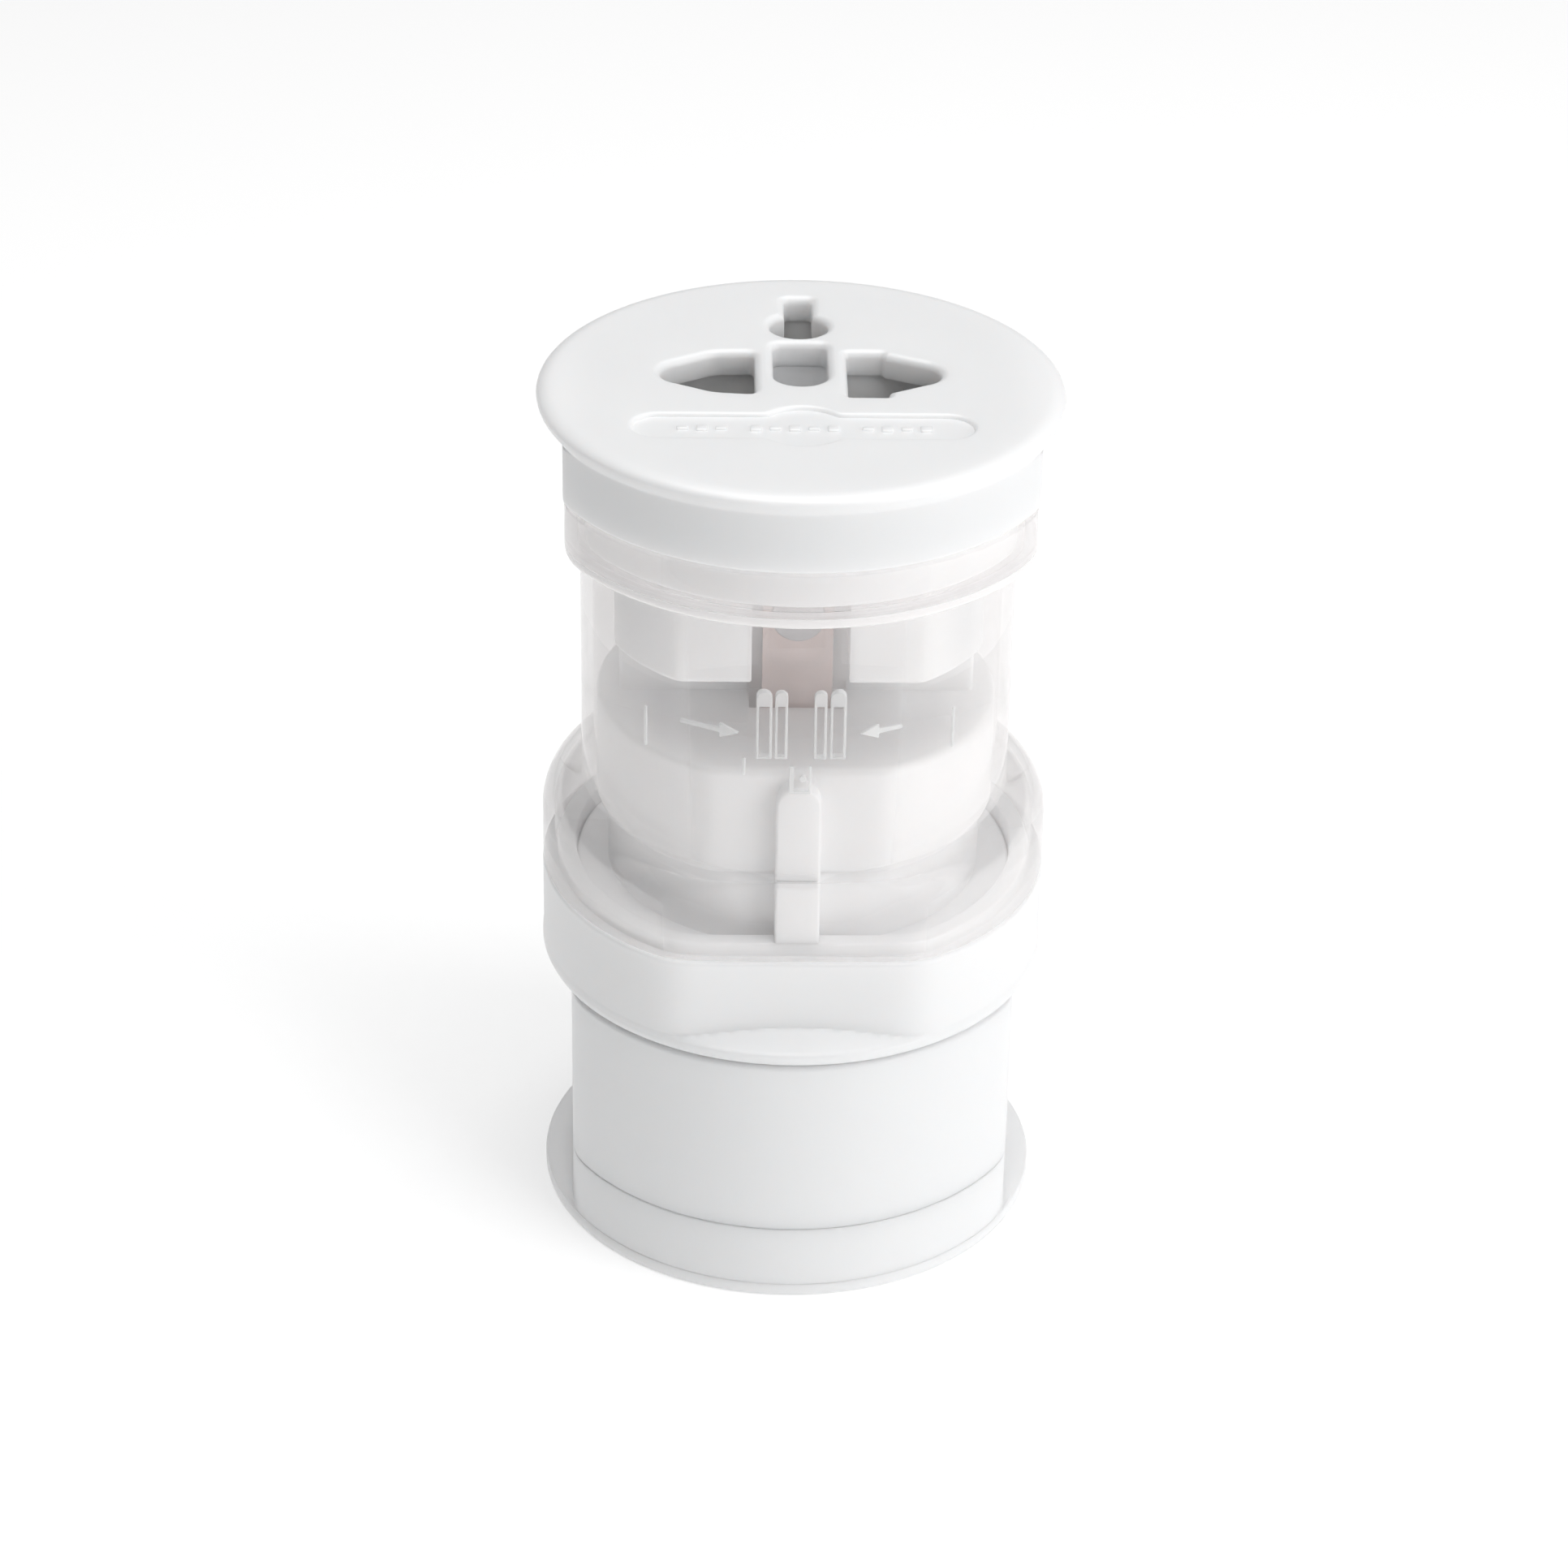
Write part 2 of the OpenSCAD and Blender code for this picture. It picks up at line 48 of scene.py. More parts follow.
OPEN = 1000.0         # a flat so far out that it never cuts the ring
SOFT = 46             # how sharply a flat meets the round wall: higher is sharper
SHARP_ANGLE = 32      # degrees past which an edge is shaded as a crease
BEVEL_ANGLE = 35      # degrees past which an edge is rounded


# ---------------------------------------------------------------- sizes, in millimetres, from the frame

def level(node, corner, axis):
    """One coordinate of a node's box at rest, in millimetres; corner 0 is the lowest, 1 the highest."""
    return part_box(node)[corner][axis] / MM


Z_PLATE = level("base_plate", 1, 2)
Z_BASE = level("base_cup", 1, 2)
Z_SPIGOT = level("mid_ring", 0, 2)
Z_RING = Z_SPIGOT + 3.0
Z_UPSTAND = level("mid_ring", 1, 2)
Z_RING_TOP = Z_UPSTAND - 1.4
Z_PLUG = level("mid_carrier", 0, 2)
Z_CORE_STEP = level("mid_carrier", 1, 2)
Z_TOWER = level("mid_core", 1, 2)
Z_CORE_TOP = Z_RING_TOP + 19.0
Z_SLEEVE = level("clear_sleeve", 0, 2)
Z_COLLAR_TOP = level("clear_sleeve", 1, 2)
Z_COLLAR = Z_COLLAR_TOP - 5.6
Z_SHOULDER = Z_SLEEVE + 5.3
SHOULDER_RISE = 4.0                 # height of the sleeve's rounded shoulder
Z_TUBE = Z_SHOULDER + SHOULDER_RISE
Z_HEAD_CORE = level("head_core", 0, 2)
Z_NECK = level("head_core", 1, 2)
Z_FACE = level("contact_carrier", 1, 2) + 0.1
Z_SKIRT = level("top_cover", 0, 2)
Z_TOP = level("top_cover", 1, 2)
Z_FLANGE = Z_TOP - 1.7

FLANGE_R = level("top_cover", 1, 0)
BODY_R = FLANGE_R - 0.1
FLAT = level("base_cup", 1, 0)      # the flats of the base and the ring, from the axis
HEAD_FLAT = FLAT + 0.3
WALL = 1.8
CLEAR_WALL = 1.2
CLEAR_GAP = 0.3                     # between the clear sleeve and the upstand inside it
TUBE_R = 21.0
CORE_R = 19.5
CORE_FLAT = 17.7
STEP_R = 18.4                       # the narrower foot of the core
TOWER_R = 17.3
TOWER_Y = -1.9
HEAD_CORE_FLAT = 15.7
HEAD_CORE_SIDE = 17.6
LINE_Y = 2.2                        # the line through the live and neutral openings and the blades
BLADE_X = 6.85
PIN_X = 9.5
EARTH_Y = 13.2
EARTH_R = 2.8
PANEL_Y = -9.5
NOTCH_W = 9.2
NOTCH_Y = -4.4
RIB_W = 4.3
SCREW_R = 1.45
SCREW_SINK_R = 2.9
HEAD_SCREW = (13, -9.5)
MID_SCREW_Y = 13
BASE_SCREW_Y = 8


# ---------------------------------------------------------------- mesh helpers

def new_object(name, mesh):
    obj = bpy.data.objects.new(name, mesh)
    bpy.context.scene.collection.objects.link(obj)
    return obj


def mesh_from(name, points, faces):
    """A closed mesh from millimetre points, with its faces turned outwards."""
    mesh = bpy.data.meshes.new(name)
    mesh.from_pydata([(x * MM, y * MM, z * MM) for x, y, z in points], [], faces)
    bm = bmesh.new()
    bm.from_mesh(mesh)
    bmesh.ops.recalc_face_normals(bm, faces=bm.faces)
    bm.to_mesh(mesh)
    bm.free()
    return new_object(name, mesh)


def soft_min(values, power):
    """The least value, with a smooth turn where two are close; a higher power turns more sharply."""
    least = min(values)
    return least * sum((v / least) ** -power for v in values) ** (-1.0 / power)


def soft_max(values, power):
    """The greatest value, with a smooth turn where two are close; a higher power turns more sharply."""
    most = max(values)
    return most * sum((v / most) ** power for v in values) ** (1.0 / power)


def ring_points(z, r, flat_x=OPEN, flat_y=OPEN, inner=0.0, soft=SOFT):
    """A circle of radius r with flats at x = +-flat_x and y = +-flat_y, but nowhere inside radius inner."""
    points = []
    for i in range(AROUND):
        angle = 2 * math.pi * (i + 0.5) / AROUND
        across, along = abs(math.cos(angle)), abs(math.sin(angle))
        reach = soft_min([r, flat_x / across, flat_y / along], soft)
        if inner:
            reach = soft_max([reach, inner], 4 * soft)
        points.append((reach * math.cos(angle), reach * math.sin(angle), z))
    return points


def loft(name, rings, closed=False):
    """Joins rings of AROUND points each; a closed loft runs back to its first ring, an open one is capped."""
    points = [p for ring in rings for p in ring]
    n = AROUND
    faces = []
    for k in range(len(rings) if closed else len(rings) - 1):
        a, b = k * n, ((k + 1) % len(rings)) * n
        faces += [(a + i, a + (i + 1) % n, b + (i + 1) % n, b + i) for i in range(n)]
    if not closed:
        faces.append(tuple(range(n))[::-1])
        faces.append(tuple(range((len(rings) - 1) * n, len(rings) * n)))
    return mesh_from(name, points, faces)


def rounded(corners):
    """A section path through (z, reach, radius) corners, each but the ends replaced by an arc-like curve."""
    path = []
    for k, (z, reach, radius) in enumerate(corners):
        if radius == 0 or k in (0, len(corners) - 1):
            path.append((z, reach))
            continue
        here = Vector((z, reach))
        before = (Vector(corners[k - 1][:2]) - here).normalized() * radius
        after = (Vector(corners[k + 1][:2]) - here).normalized() * radius
        for i in range(CURVE_STEPS + 1):
            t = i / CURVE_STEPS
            point = here + before * (1 - t) ** 2 + after * t ** 2
            path.append((point.x, point.y))
    return path


def soft_corners(outline, radius):
    """A counter-clockwise outline with its outer corners rounded; inner and gentle corners stay."""
    curved = []
    count = len(outline)
    gentle = 0.35         # sine of the turn below which a corner stays
    longest = 0.45        # share of an edge that one curve may take
    steps = 4
    for i in range(count):
        here = Vector(outline[i])
        before = Vector(outline[i - 1]) - here
        after = Vector(outline[(i + 1) % count]) - here
        if after.cross(before) < before.length * after.length * gentle:
            curved.append(outline[i])
            continue
        a = before.normalized() * min(radius, before.length * longest)
        b = after.normalized() * min(radius, after.length * longest)
        for k in range(steps + 1):
            t = k / steps
            point = here + a * (1 - t) ** 2 + b * t ** 2
            curved.append((point.x, point.y))
    return curved


def outward(outline):
    """The outward direction at each corner of an outline, whichever way round it runs."""
    count = len(outline)
    area = sum(
        outline[i][0] * outline[(i + 1) % count][1] - outline[(i + 1) % count][0] * outline[i][1]
        for i in range(count)
    )
    turn = 1 if area > 0 else -1
    normals = []
    for i in range(count):
        before = Vector(outline[i]) - Vector(outline[i - 1])
        after = Vector(outline[(i + 1) % count]) - Vector(outline[i])
        edge = before.normalized() + after.normalized()
        normals.append(Vector((edge.y, -edge.x)).normalized() * turn)
    return normals


def prism(name, outline, z0, z1, flare_top=0.0, flare_low=0.0):
    """An upright block; an end with a flare widens in a quarter curve to it and runs on for 1 mm."""
    quarter = [math.pi / 2 * i / CURVE_STEPS for i in range(CURVE_STEPS + 1)]
    levels = []
    if flare_low:
        levels.append((z0 - 1, flare_low))
        levels += [(z0 + flare_low * (1 - math.cos(a)), flare_low * (1 - math.sin(a))) for a in quarter]
    else:
        levels.append((z0, 0.0))
    if flare_top:
        levels += [(z1 - flare_top * (1 - math.sin(a)), flare_top * (1 - math.cos(a))) for a in quarter]
        levels.append((z1 + 1, flare_top))
    else:
        levels.append((z1, 0.0))
    normals = outward(outline)
    points = [(p[0] + d * m.x, p[1] + d * m.y, z) for z, d in levels for p, m in zip(outline, normals)]
    count = len(outline)
    faces = []
    for k in range(len(levels) - 1):
        a, b = k * count, (k + 1) * count
        faces += [(a + i, a + (i + 1) % count, b + (i + 1) % count, b + i) for i in range(count)]
    faces.append(tuple(range(count))[::-1])
    faces.append(tuple(range((len(levels) - 1) * count, len(levels) * count)))
    return mesh_from(name, points, faces)


def bake_modifiers(obj):
    """Makes the shape with its modifiers the object's own mesh."""
    depsgraph = bpy.context.evaluated_depsgraph_get()
    mesh = bpy.data.meshes.new_from_object(obj.evaluated_get(depsgraph))
    obj.modifiers.clear()
    obj.data = mesh
    return obj


def combine(obj, others, operation):
    """Cuts others out of obj, or joins them to it, and removes them."""
    for other in others:
        step = obj.modifiers.new("combine", "BOOLEAN")
        step.operation = operation
        step.solver = "EXACT"
        step.object = other
        bake_modifiers(obj)
        bpy.data.objects.remove(other)
    return obj


def join(parts):
    """One object from several separate ones."""
    bm = bmesh.new()
    for part in parts:
        bm.from_mesh(part.data)
    bm.to_mesh(parts[0].data)
    bm.free()
    for part in parts[1:]:
        bpy.data.objects.remove(part)
    return parts[0]


def soften(obj, width, segments=3):
    """Rounds every edge sharper than BEVEL_ANGLE; width is in millimetres."""
    step = obj.modifiers.new("soften", "BEVEL")
    step.width = width * MM
    step.segments = segments
    step.limit_method = "ANGLE"
    step.angle_limit = math.radians(BEVEL_ANGLE)
    return bake_modifiers(obj)


def smooth(obj):
    """Shades the object as smooth, with creases at sharp edges and evenly lit large faces."""
    obj.data.shade_smooth()
    bm = bmesh.new()
    bm.from_mesh(obj.data)
    bmesh.ops.remove_doubles(bm, verts=bm.verts, dist=1e-7)
    limit = math.radians(SHARP_ANGLE)
    for edge in bm.edges:
        edge.smooth = not (len(edge.link_faces) == 2 and edge.calc_face_angle(0.0) > limit)
    bm.to_mesh(obj.data)
    bm.free()
    even = obj.modifiers.new("even shading", "WEIGHTED_NORMAL")
    even.keep_sharp = True
    return bake_modifiers(obj)


def box(name, low, high):
    """A block between two corners, in millimetres."""
    points = [(x, y, z) for x in (low[0], high[0]) for y in (low[1], high[1]) for z in (low[2], high[2])]
    faces = [(0, 1, 3, 2), (4, 6, 7, 5), (0, 4, 5, 1), (2, 3, 7, 6), (0, 2, 6, 4), (1, 5, 7, 3)]
    return mesh_from(name, points, faces)


def softened_copy(node, width):
    """A copy of a CAD node with its flat faces merged and its edges rounded."""
    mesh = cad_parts[node].data.copy()
    mesh.materials.clear()
    obj = new_object(node + "_soft", mesh)
    bm = bmesh.new()
    bm.from_mesh(mesh)
    bmesh.ops.remove_doubles(bm, verts=bm.verts, dist=1e-6)
    nearly_flat = math.radians(1.5)
    bmesh.ops.dissolve_limit(bm, angle_limit=nearly_flat, verts=bm.verts, edges=bm.edges)
    bm.to_mesh(mesh)
    bm.free()
    soften(obj, width, segments=2)
    return smooth(obj)


def arc(cx, cy, r, start, end, steps):
    """Points on an arc, angles in degrees."""
    return [
        (cx + r * math.cos(math.radians(start + (end - start) * i / steps)),
         cy + r * math.sin(math.radians(start + (end - start) * i / steps)))
        for i in range(steps + 1)
    ]


def disc(x, y, r, z0, z1, around=48):
    """An upright round bar, in millimetres."""
    return prism("disc", arc(x, y, r, 0, 360 - 360 / around, around - 1), z0, z1)


def rectangle(x0, x1, y0, y1):
    """A counter-clockwise outline between two corners."""
    return [(x0, y0), (x1, y0), (x1, y1), (x0, y1)]


def facing_front(obj):
    """Turns a block on an outline in (x, z) upright, so that its height runs to the front, along -Y."""
    obj.data.transform(Matrix.Rotation(math.radians(90), 4, "X"))
    return obj


# ---------------------------------------------------------------- materials

def material(name, colour, roughness, metallic=0.0):
    mat = bpy.data.materials.new(name)
    mat.use_nodes = True
    shader = mat.node_tree.nodes["Principled BSDF"]
    shader.inputs["Base Color"].default_value = (*colour, 1)
    shader.inputs["Roughness"].default_value = roughness
    shader.inputs["Metallic"].default_value = metallic
    return mat, mat.node_tree, shader


def object_space(tree, scale=(1, 1, 1)):
    """Places on the object, in metres, stretched by the scale."""
    coords = tree.nodes.new("ShaderNodeTexCoord")
    mapping = tree.nodes.new("ShaderNodeMapping")
    mapping.inputs["Scale"].default_value = scale
    tree.links.new(coords.outputs["Object"], mapping.inputs["Vector"])
    return mapping.outputs["Vector"]


def noise(tree, vector, scale, detail):
    node = tree.nodes.new("ShaderNodeTexNoise")
    node.inputs["Scale"].default_value = scale
    node.inputs["Detail"].default_value = detail
    tree.links.new(vector, node.inputs["Vector"])
    return node.outputs["Fac"]


def ramp(tree, value, low, high):
    """Runs from one colour to another as the value goes from 0.3 to 0.7."""
    node = tree.nodes.new("ShaderNodeValToRGB")
    tree.links.new(value, node.inputs["Fac"])
    node.color_ramp.elements[0].position = 0.3
    node.color_ramp.elements[1].position = 0.7
    node.color_ramp.elements[0].color = (*low, 1)
    node.color_ramp.elements[1].color = (*high, 1)
    return node.outputs["Color"]


def bump(tree, shader, height, strength, distance):
    node = tree.nodes.new("ShaderNodeBump")
    node.inputs["Strength"].default_value = strength
    node.inputs["Distance"].default_value = distance
    tree.links.new(height, node.inputs["Height"])
    tree.links.new(node.outputs["Normal"], shader.inputs["Normal"])


def spread(tree, value, low, high):
    """Runs from low to high as the value goes from 0 to 1."""
    node = tree.nodes.new("ShaderNodeMapRange")
    tree.links.new(value, node.inputs["Value"])
    node.inputs["To Min"].default_value = low
    node.inputs["To Max"].default_value = high
    return node.outputs["Result"]


def roughness_range(tree, shader, value, low, high):
    tree.links.new(spread(tree, value, low, high), shader.inputs["Roughness"])


def arithmetic(tree, operation, first, second=None, clamp=False):
    """One step of arithmetic on sockets or plain numbers, kept between 0 and 1 if clamp is set."""
    node = tree.nodes.new("ShaderNodeMath")
    node.operation = operation
    node.use_clamp = clamp
    for slot, value in enumerate((first, second)):
        if isinstance(value, (int, float)):
            node.inputs[slot].default_value = value
        elif value is not None:
            tree.links.new(value, node.inputs[slot])
    return node.outputs["Value"]


def mix_shaders(tree, share, first, second):
    """The first shader where the share is 0, the second where it is 1."""
    node = tree.nodes.new("ShaderNodeMixShader")
    tree.links.new(share, node.inputs["Fac"])
    tree.links.new(first, node.inputs[1])
    tree.links.new(second, node.inputs[2])
    return node.outputs["Shader"]


def transparent(tree, colour):
    node = tree.nodes.new("ShaderNodeBsdfTransparent")
    node.inputs["Color"].default_value = (*colour, 1)
    return node.outputs["BSDF"]


def moulded_plastic(name, colour, roughness):
    """White moulded plastic: faint flow shading, a fine spark-eroded grain and a soft gloss."""
    mat, tree, shader = material(name, colour, roughness)
    fine = noise(tree, object_space(tree), 5200, 2)
    flow = noise(tree, object_space(tree, (1, 1, 0.4)), 90, 3)
    warm = tuple(c * k for c, k in zip(colour, (0.985, 0.985, 0.99)))
    tree.links.new(ramp(tree, flow, warm, colour), shader.inputs["Base Color"])
    roughness_range(tree, shader, flow, roughness - 0.05, roughness + 0.07)
    bump(tree, shader, fine, 0.12, 0.00004)
    shader.inputs["IOR"].default_value = 1.5
    shader.inputs["Subsurface Weight"].default_value = 0.6
    shader.inputs["Subsurface Radius"].default_value = (0.0026, 0.0024, 0.0023)
    shader.inputs["Subsurface Scale"].default_value = 1.0
    return mat


def see_through(tree, shader, straight, lamps, most, least, cloud=None):
    """Lets the view pass straight through face on, less at a glancing angle, and soft light and lamps always.

    most and least are the shares that pass face on and at a glancing angle; cloud is a socket that
    holds back at least its own share.
    """
    weight = tree.nodes.new("ShaderNodeLayerWeight")
    weight.inputs["Blend"].default_value = 0.3
    held_back = spread(tree, weight.outputs["Facing"], 1 - most, 1 - least)
    if cloud is not None:
        held_back = arithmetic(tree, "MAXIMUM", held_back, cloud)
    seen = mix_shaders(tree, held_back, transparent(tree, straight), shader.outputs["BSDF"])
    bright = transparent(tree, lamps)
    light = tree.nodes.new("ShaderNodeLightPath")
    for ray in ("Is Diffuse Ray", "Is Shadow Ray"):
        seen = mix_shaders(tree, light.outputs[ray], seen, bright)
    tree.links.new(seen, tree.nodes["Material Output"].inputs["Surface"])


def level_band(tree, middle, half, most):
    """The given most near one height, fading to 0 at half a band above and below it."""
    place = tree.nodes.new("ShaderNodeSeparateXYZ")
    tree.links.new(object_space(tree), place.inputs["Vector"])
    distance = arithmetic(tree, "ABSOLUTE", arithmetic(tree, "SUBTRACT", place.outputs["Z"], middle * MM))
    band = tree.nodes.new("ShaderNodeMapRange")
    tree.links.new(distance, band.inputs["Value"])
    band.inputs["From Min"].default_value = half * 0.8 * MM
    band.inputs["From Max"].default_value = half * MM
    band.inputs["To Min"].default_value = most
    band.inputs["To Max"].default_value = 0.0
    return band.outputs["Result"]


def clear_plastic():
    """Clear polycarbonate with faint flow waves, a trace of warm haze, and a band around the collar floor
    that lets less of the view through and shows the pale base colour.
    """
    mat, tree, shader = material("clear_plastic", (0.98, 0.96, 0.957), 0.03)
    shader.inputs["IOR"].default_value = 1.49
    waves = noise(tree, object_space(tree, (1, 1, 0.5)), 160, 2)
    bump(tree, shader, waves, 0.08, 0.0002)
    # Around the collar floor less of the view passes straight through, so the pale base colour shows as a
    # whiter band.
    collar_whitening = level_band(tree, Z_COLLAR + 0.6, 0.8, 0.8)
    clear = arithmetic(tree, "SUBTRACT", 0.55, collar_whitening, clamp=True)
    tree.links.new(clear, shader.inputs["Transmission Weight"])
    see_through(tree, shader, (0.995, 0.989, 0.988), (0.995, 0.995, 0.995), 0.86, 0.25, collar_whitening)
    return mat


def frosted_plastic():
    """The raised marks on the clear sleeve: a rough, pale, partly see-through white that is painted
    highlight, standing in for the light their edges and caps catch.
    """
    # The pale base colour and the low transmission whiten the clear marks: this white is painted highlight.
    mat, tree, shader = material("frosted_plastic", (0.95, 0.95, 0.95), 0.35)
    shader.inputs["Transmission Weight"].default_value = 0.3
    shader.inputs["IOR"].default_value = 1.49
    grain = noise(tree, object_space(tree), 4000, 2)
    bump(tree, shader, grain, 0.2, 0.00005)
    roughness_range(tree, shader, grain, 0.28, 0.45)
    see_through(tree, shader, (0.97, 0.97, 0.97), (0.93, 0.93, 0.93), 0.4, 0.1)
    return mat


def plated_metal(name, colour, roughness, brushed):
    """Metal with drawn lines along Z and small stains."""
    mat, tree, shader = material(name, colour, roughness, 1.0)
    lines = noise(tree, object_space(tree, (1, 1, 0.03)), brushed, 3)
    stains = noise(tree, object_space(tree), 350, 4)
    dark = tuple(c * 0.86 for c in colour)
    tree.links.new(ramp(tree, stains, dark, colour), shader.inputs["Base Color"])
    roughness_range(tree, shader, lines, roughness - 0.08, roughness + 0.12)
    bump(tree, shader, lines, 0.15, 0.00003)
    return mat


def build_materials():
    return {
        "white_abs": moulded_plastic("white_abs", (0.95, 0.95, 0.954), 0.34),
        "white_insert": moulded_plastic("white_insert", (0.92, 0.92, 0.925), 0.42),
        "clear_plastic": clear_plastic(),
        "frosted_plastic": frosted_plastic(),
        "screw_steel": plated_metal("screw_steel", (0.62, 0.62, 0.63), 0.32, 2600),
        "nickel": plated_metal("nickel", (0.76, 0.74, 0.71), 0.24, 3200),
        "copper": plated_metal("copper", (0.84, 0.72, 0.69), 0.4, 2200),
        "rivet_steel": plated_metal("rivet_steel", (0.6, 0.6, 0.61), 0.3, 2800),
    }


# ---------------------------------------------------------------- pieces

def body_ring(z, r):
    """A ring of the base or the mid ring, with its flats as far inside FLAT as r is inside BODY_R."""
    return ring_points(z, r, FLAT - (BODY_R - r))


def base_plate():
    """The lower flange and a shallow dish above it, with two bosses for screws from below."""
    edge = [(0.0, 1.0), (0.0, 0.35), (0.12, 0.1), (0.35, 0.0), (1.0, 0.0), (1.25, 0.12), (1.38, 0.4)]
    rings = [ring_points(z, FLANGE_R - inset) for z, inset in edge]
    flange_top = 1.4
    rings.append(ring_points(flange_top, BODY_R - 0.1, FLAT + 1.2))
    rings.append(ring_points(flange_top, BODY_R, FLAT + 0.35))
    rings.append(ring_points(flange_top + 0.1, BODY_R, FLAT + 0.1))
    rim = [(flange_top + 0.35, BODY_R, 0), (Z_PLATE, BODY_R, 0.15), (Z_PLATE, BODY_R - WALL, 0)]
    rings += [body_ring(z, r) for z, r in rounded(rim)]
    rings.append(body_ring(2.0, BODY_R - WALL))
    obj = loft("base_plate_shell", rings)
    sides = (-BASE_SCREW_Y, BASE_SCREW_Y)
    bosses = [disc(0, y, 3.2, 1.5, 3.8) for y in sides]
    holes = [disc(0, y, r, -1, z) for y in sides for r, z in ((SCREW_SINK_R, 2.2), (SCREW_R, 5))]
    return combine(combine(obj, bosses, "UNION"), holes, "DIFFERENCE")


def base_cup():
    """The tall open wall of the base, with a spigot that fits down into the plate."""
    z0 = Z_PLATE + 0.1
    spigot = BODY_R - WALL - 0.05
    spigot_inside = spigot - 1.2
    corners = [
        (z0, spigot, 0.0), (z0, BODY_R, 0.15), (Z_BASE, BODY_R, 0.5), (Z_BASE, BODY_R - WALL, 0.3),
        (z0 + 1, BODY_R - WALL, 0.0), (z0 + 1, spigot_inside, 0.0), (z0 - 3, spigot_inside, 0.0),
        (z0 - 3, spigot, 0.0),
    ]
    path = rounded(corners + corners[:1])[:-1]
    return loft("base_cup_shell", [body_ring(z, r) for z, r in path], closed=True)


def mid_ring():
    """The flanged ring of the round-pin module, with a floor, a spigot below and an upstand above."""
    spigot = BODY_R - WALL - 0.3
    upstand = BODY_R - CLEAR_WALL - CLEAR_GAP
    lip_low, lip_high, ledge = Z_RING, Z_RING + 1.2, Z_RING + 2.55
    under = [(Z_RING + 1.3, spigot - WALL, 0), (Z_SPIGOT, spigot - WALL, 0.3), (Z_SPIGOT, spigot, 0.4),
             (lip_low, spigot, 0)]
    rings = [body_ring(z, r) for z, r in rounded(under)]
    edge = [(lip_low, 0.9), (lip_low, 0.5), (lip_low + 0.15, 0.15), (lip_low + 0.5, 0.0),
            (lip_high - 0.35, 0.0), (lip_high - 0.12, 0.04)]
    rings += [ring_points(z, FLANGE_R - inset) for z, inset in edge]
    steps = 6
    for i in range(steps + 1):
        z = lip_high + (ledge - lip_high) * i / steps
        slope = FLANGE_R - 0.12 - 2.9 * i / steps
        rings.append(ring_points(z, BODY_R, OPEN, FLAT, inner=slope))
    body = [(ledge + 0.1, BODY_R, 0), (Z_RING_TOP, BODY_R, 0.45), (Z_RING_TOP, upstand, 0.1),
            (Z_UPSTAND, upstand, 0.3), (Z_UPSTAND, upstand - WALL, 0.3), (Z_PLUG + 0.01, upstand - WALL, 0)]
    rings += [ring_points(z, r, OPEN, FLAT - (BODY_R - r)) for z, r in rounded(body)]
    return loft("mid_ring_shell", rings)


def contact_opening(side):
    """Outline of one live or neutral opening: an inner slot, longer on the right, and a round outer tip."""
    inner, step = 4.4, 8.2
    back = LINE_Y + 4.8
    tip = arc(10.8, LINE_Y + 0.2, 2.5, -72, 72, 16)
    if side > 0:
        outline = [(inner, back), (inner, LINE_Y - 5), (step, LINE_Y - 5), (step, LINE_Y - 4.1)]
        outline += tip + [(step, LINE_Y + 4.2), (step - 0.3, back)]
        return soft_corners(outline, 0.35)
    outline = [(inner, back), (inner, LINE_Y - 4.4), (step, LINE_Y - 4.0)]
    outline += tip + [(step, LINE_Y + 4.6)]
    return [(-x, y) for x, y in soft_corners(outline, 0.8)]


def side_pocket(side, reach, front, back, z0, z1):
    """A cutter for the pocket of one contact, from near the middle out to its reach."""
    inner = side * 3.6
    outer = side * reach
    return prism("cut", [(inner, front), (outer, front), (outer, back), (inner, back)], z0, z1)


def contact_pocket(side, z0, z1):
    """The room for one side contact of the head."""
    return side_pocket(side, 13.6, -3, 7.2, z0, z1)


def leaf_pocket(side, z0, z1):
    """The room for one leaf contact of the round-pin module."""
    return side_pocket(side, 10.6, -1.1, 5.5, z0, z1)


def centre_opening():
    """A slot with a round front end."""
    half = 2.6
    back = LINE_Y + 6.8
    return soft_corners(arc(0, LINE_Y, half, 180, 360, 20) + [(half, back), (-half, back)], 0.9)


def earth_opening():
    """A round opening with a slot towards the back."""
    half = 1.35
    back = 19.6
    lift = math.degrees(math.asin(half / EARTH_R))
    round_part = arc(0, EARTH_Y, EARTH_R, 90 + lift, 450 - lift, 30)
    return soft_corners(round_part + [(half, back), (-half, back)], 0.5)


def panel_outline():
    """A long stadium with a round eye in the middle."""
    length, half_w, eye = 31.7, 2.5, 4.1
    end = length / 2 - half_w
    tiny = 0.001          # keeps the two ends from closing to a point
    steps = 90
    upper = []
    for i in range(steps + 1):
        x = (length / 2 - tiny) * -math.cos(math.pi * i / steps)
        beyond = max(0.0, abs(x) - end)
        straight = math.sqrt(max(1e-9, half_w ** 2 - beyond ** 2))
        round_eye = math.sqrt(max(0.0, eye ** 2 - x ** 2))
        upper.append((x, soft_max([straight, max(round_eye, 0.01)], 14)))
    front = [(x, PANEL_Y - h) for x, h in upper]
    return front + [(x, PANEL_Y + h) for x, h in reversed(upper[1:-1])]


def generic_marks():
    """Three groups of plain raised dashes in the panel, low and high in turn."""
    spacing = 1.8
    half = 0.55
    marks = []
    for start, count in ((-11.2, 3), (-4.4, 5), (6.0, 4)):
        for k in range(count):
            x = start + k * spacing
            height = 0.55 if len(marks) % 2 else 0.3
            low = (x - half, PANEL_Y - height, Z_TOP - 0.6)
            high = (x + half, PANEL_Y + height, Z_TOP - 0.2)
            marks.append(soften(box("mark", low, high), 0.14))
    return marks


